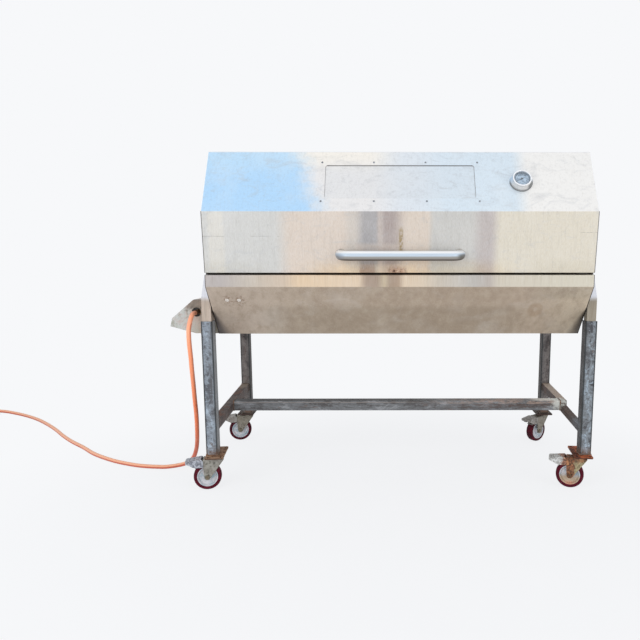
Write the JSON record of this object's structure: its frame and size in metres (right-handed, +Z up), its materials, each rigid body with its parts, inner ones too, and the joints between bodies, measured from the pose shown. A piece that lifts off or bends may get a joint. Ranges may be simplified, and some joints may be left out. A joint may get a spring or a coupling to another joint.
{
  "type": "hog roast machine",
  "caption": "Gas-fired hog roasting machine: hinged stainless hood with handle and dial over a trough, on a box-section trolley with swivel casters and a gas hose.",
  "frame": {"origin": "centre of the machine's footprint at floor level, hose and regulator left out", "axes": "+X to the machine's right along the hood, +Y to its back where the hood is hinged, +Z up"},
  "size_m": [3.7415, 1.5528, 1.511],
  "materials": {
    "mill_steel": "matt mill-scale steel with light rust",
    "rusted_steel": "dull brown rusted steel",
    "rusty_plate": "dull orange-brown rust",
    "stainless": "brushed",
    "stainless_dull": "brushed, heat-tinted",
    "stainless_bright": "satin",
    "zinc": "dull zinc plating",
    "brass": "satin",
    "chrome": "polished",
    "tyre_red": "matt maroon rubber",
    "wheel_silver": "dull silver paint",
    "hose_orange": "semi-matt rubber",
    "black_plastic": "matt",
    "dial_face": "satin",
    "needle_black": "matt",
    "dial_glass": "clear",
    "alloy": "die-cast, dull"
  },
  "bodies": {
    "trolley": {"leg_front_left": "mill_steel", "leg_front_right": "mill_steel", "leg_rear_left": "mill_steel", "leg_rear_right": "mill_steel", "side_rail_left": "rusted_steel", "side_rail_right": "rusted_steel", "stretcher_bar": "rusted_steel", "uprights_left": "stainless_bright", "uprights_right": "stainless_bright", "caster_plates": "rusty_plate", "trough_shell": "stainless_dull", "trough_end_left": "stainless_dull", "trough_end_right": "stainless_dull", "trough_bolts": "stainless_bright", "tray_ledges": "stainless_dull", "roasting_tray": "stainless_dull", "burner_front": "rusted_steel", "burner_rear": "rusted_steel", "flame_baffles": "stainless_dull", "gas_manifold": "brass", "gas_valve": "brass", "inlet_guard": "stainless_dull", "hinge_leaves_lower": "stainless_dull", "hinge_pins": "stainless_bright", "gas_hose": "hose_orange", "hose_ferrules": "brass", "regulator": "alloy"},
    "hood": {"lid_shell": "stainless", "lid_end_left": "stainless", "lid_end_right": "stainless", "window_plate": "stainless_bright", "window_screws": "stainless_bright", "lid_handle": "stainless", "hinge_leaves_upper": "stainless", "thermometer_case": "chrome", "thermometer_dial": "dial_face", "thermometer_glass": "dial_glass"},
    "needle": {"thermometer_needle": "needle_black"},
    "knob": {"valve_knob": "black_plastic"},
    "handwheel": {"regulator_handwheel": "black_plastic"},
    "swivel_front_left": {"fork_front_left": "zinc", "axle_front_left": "zinc"},
    "roller_front_left": {"wheel_front_left": "wheel_silver", "tyre_front_left": "tyre_red"},
    "brake_front_left": {"pedal_front_left": "zinc"},
    "swivel_front_right": {"fork_front_right": "zinc", "axle_front_right": "zinc"},
    "roller_front_right": {"wheel_front_right": "wheel_silver", "tyre_front_right": "tyre_red"},
    "brake_front_right": {"pedal_front_right": "zinc"},
    "swivel_rear_left": {"fork_rear_left": "zinc", "axle_rear_left": "zinc"},
    "roller_rear_left": {"wheel_rear_left": "wheel_silver", "tyre_rear_left": "tyre_red"},
    "brake_rear_left": {"pedal_rear_left": "zinc"},
    "swivel_rear_right": {"fork_rear_right": "zinc", "axle_rear_right": "zinc"},
    "roller_rear_right": {"wheel_rear_right": "wheel_silver", "tyre_rear_right": "tyre_red"},
    "brake_rear_right": {"pedal_rear_right": "zinc"}
  },
  "joints": [
    {"name": "hood_hinge", "type": "hinge", "parent": "trolley", "child": "hood", "pos_m": [0.0765, 0.51325, 0.992], "axis": [-1, 0, 0], "range_deg": [0, 100]},
    {"name": "needle_turn", "type": "hinge", "parent": "hood", "child": "needle", "pos_m": [0.5875, -0.40807, 1.38755], "axis": [0, 0.867, -0.4983], "range_deg": [0, 240]},
    {"name": "knob_turn", "type": "hinge", "parent": "trolley", "child": "knob", "pos_m": [-0.8465, 0.16025, 0.81], "axis": [-0.6476, 0, 0.7619], "range_deg": [0, 180]},
    {"name": "handwheel_turn", "type": "hinge", "parent": "trolley", "child": "handwheel", "pos_m": [-2.72495, 0.99702, 0.024], "axis": [-0.9889, 0.1483, 0], "continuous": true},
    {"name": "swivel_front_left", "type": "hinge", "parent": "trolley", "child": "swivel_front_left", "pos_m": [-0.7595, -0.31675, 0.148], "axis": [0, 0, 1], "continuous": true},
    {"name": "wheel_front_left", "type": "hinge", "parent": "swivel_front_left", "child": "roller_front_left", "pos_m": [-0.80466, -0.32552, 0.0625], "axis": [-0.1908, 0.9816, 0], "continuous": true},
    {"name": "pedal_front_left", "type": "hinge", "parent": "swivel_front_left", "child": "brake_front_left", "pos_m": [-0.83607, -0.33163, 0.126], "axis": [-0.1908, 0.9816, 0], "range_deg": [0, 16]},
    {"name": "swivel_front_right", "type": "hinge", "parent": "trolley", "child": "swivel_front_right", "pos_m": [0.9165, -0.32575, 0.148], "axis": [0, 0, 1], "continuous": true},
    {"name": "wheel_front_right", "type": "hinge", "parent": "swivel_front_right", "child": "roller_front_right", "pos_m": [0.87275, -0.31153, 0.0625], "axis": [0.309, 0.9511, 0], "continuous": true},
    {"name": "pedal_front_right", "type": "hinge", "parent": "swivel_front_right", "child": "brake_front_right", "pos_m": [0.84232, -0.30164, 0.126], "axis": [0.309, 0.9511, 0], "range_deg": [0, 16]},
    {"name": "swivel_rear_left", "type": "hinge", "parent": "trolley", "child": "swivel_rear_left", "pos_m": [-0.7805, 0.43025, 0.148], "axis": [0, 0, 1], "continuous": true},
    {"name": "wheel_rear_left", "type": "hinge", "parent": "swivel_rear_left", "child": "roller_rear_left", "pos_m": [-0.8258, 0.42227, 0.0625], "axis": [-0.1736, 0.9848, 0], "continuous": true},
    {"name": "pedal_rear_left", "type": "hinge", "parent": "swivel_rear_left", "child": "brake_rear_left", "pos_m": [-0.85732, 0.41671, 0.126], "axis": [-0.1736, 0.9848, 0], "range_deg": [0, 16]},
    {"name": "swivel_rear_right", "type": "hinge", "parent": "trolley", "child": "swivel_rear_right", "pos_m": [0.9245, 0.41825, 0.148], "axis": [0, 0, 1], "continuous": true},
    {"name": "wheel_rear_right", "type": "hinge", "parent": "swivel_rear_right", "child": "roller_rear_right", "pos_m": [0.88776, 0.39057, 0.0625], "axis": [-0.6018, 0.7986, 0], "continuous": true},
    {"name": "pedal_rear_right", "type": "hinge", "parent": "swivel_rear_right", "child": "brake_rear_right", "pos_m": [0.86221, 0.37131, 0.126], "axis": [-0.6018, 0.7986, 0], "range_deg": [0, 16]}
  ]
}
